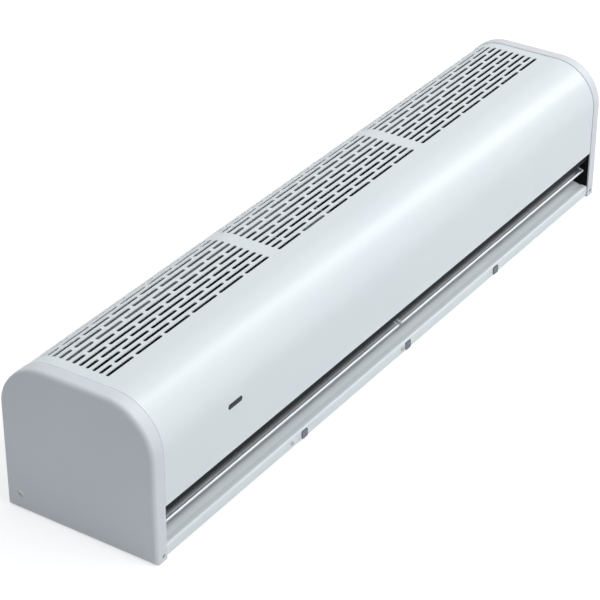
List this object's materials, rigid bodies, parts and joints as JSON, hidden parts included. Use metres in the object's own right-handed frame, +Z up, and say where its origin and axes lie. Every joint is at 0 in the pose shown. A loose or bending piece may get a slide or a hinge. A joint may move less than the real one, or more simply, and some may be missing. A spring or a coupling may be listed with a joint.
{
  "type": "air curtain",
  "caption": "Wall-mounted air curtain: long slotted steel casing with moulded end caps, cross-flow fans on one motor, and tilting vanes in the outlet mouth.",
  "frame": {"origin": "middle of the underside of the end caps, halfway along the length and the depth", "axes": "+X along the length, to the right seen from the front; front with the outlet faces -Y; wall side faces +Y; +Z up"},
  "size_m": [1.008, 0.202, 0.194],
  "materials": {
    "painted_steel": "powder coat, satin",
    "duct_steel": "powder coat, satin",
    "cap_plastic": "moulded ABS, satin",
    "zinc_steel": "zinc-plated sheet",
    "black_plastic": "moulded, matt",
    "window_plastic": "smoked lens",
    "vane_aluminium": "painted extrusion",
    "vane_plastic": "moulded",
    "fan_aluminium": "rolled blades",
    "motor_steel": "grey enamel",
    "shaft_steel": "ground",
    "rubber": "moulded",
    "board": "solder mask",
    "cream_plastic": "moulded",
    "screw_steel": "zinc plated"
  },
  "bodies": {
    "root": {"casing_shell": "painted_steel", "bottom_plate": "painted_steel", "scroll_plate": "duct_steel", "left_end_cap": "cap_plastic", "right_end_cap": "cap_plastic", "back_plate": "zinc_steel", "wall_bracket": "zinc_steel", "tongue_plate": "zinc_steel", "motor_cradle": "zinc_steel", "left_motor_strap": "zinc_steel", "right_motor_strap": "zinc_steel", "control_box": "zinc_steel", "control_box_cover": "zinc_steel", "left_side_plate": "black_plastic", "right_side_plate": "black_plastic", "outlet_rail": "black_plastic", "centre_vane_bracket": "black_plastic", "left_vane_bracket": "black_plastic", "right_vane_bracket": "black_plastic", "receiver_window": "window_plastic", "motor_body": "motor_steel", "left_bearing": "shaft_steel", "right_bearing": "shaft_steel", "left_motor_rubber": "rubber", "right_motor_rubber": "rubber", "left_bearing_seat": "rubber", "right_bearing_seat": "rubber", "cable_grommet": "rubber", "motor_lead": "rubber", "circuit_board": "board", "receiver_board": "board", "run_capacitor": "cream_plastic", "terminal_block": "cream_plastic", "left_lip_clip": "screw_steel", "centre_lip_clip": "screw_steel", "right_lip_clip": "screw_steel", "left_lip_screw": "screw_steel", "centre_lip_screw": "screw_steel", "left_cap_screw": "screw_steel", "right_cap_screw": "screw_steel", "left_corner_screw": "screw_steel", "right_corner_screw": "screw_steel"},
    "rotor": {"motor_shaft": "shaft_steel", "left_fan": "fan_aluminium", "right_fan": "fan_aluminium", "left_stub_shaft": "shaft_steel", "right_stub_shaft": "shaft_steel"},
    "left_vane_body": {"left_vane": "vane_aluminium", "left_vane_inner_pin": "vane_plastic", "left_vane_outer_pin": "vane_plastic"},
    "right_vane_body": {"right_vane": "vane_aluminium", "right_vane_inner_pin": "vane_plastic", "right_vane_outer_pin": "vane_plastic"}
  },
  "joints": [
    {"name": "rotor_spin", "type": "hinge", "parent": "root", "child": "rotor", "pos_m": [0, 0.022, 0.108], "axis": [1, 0, 0], "continuous": true},
    {"name": "left_vane_tilt", "type": "hinge", "parent": "root", "child": "left_vane_body", "pos_m": [-0.241, -0.0772, 0.048], "axis": [1, 0, 0], "range_deg": [-40, 35]},
    {"name": "right_vane_tilt", "type": "hinge", "parent": "root", "child": "right_vane_body", "pos_m": [0.241, -0.0772, 0.048], "axis": [1, 0, 0], "range_deg": [-40, 35]}
  ]
}
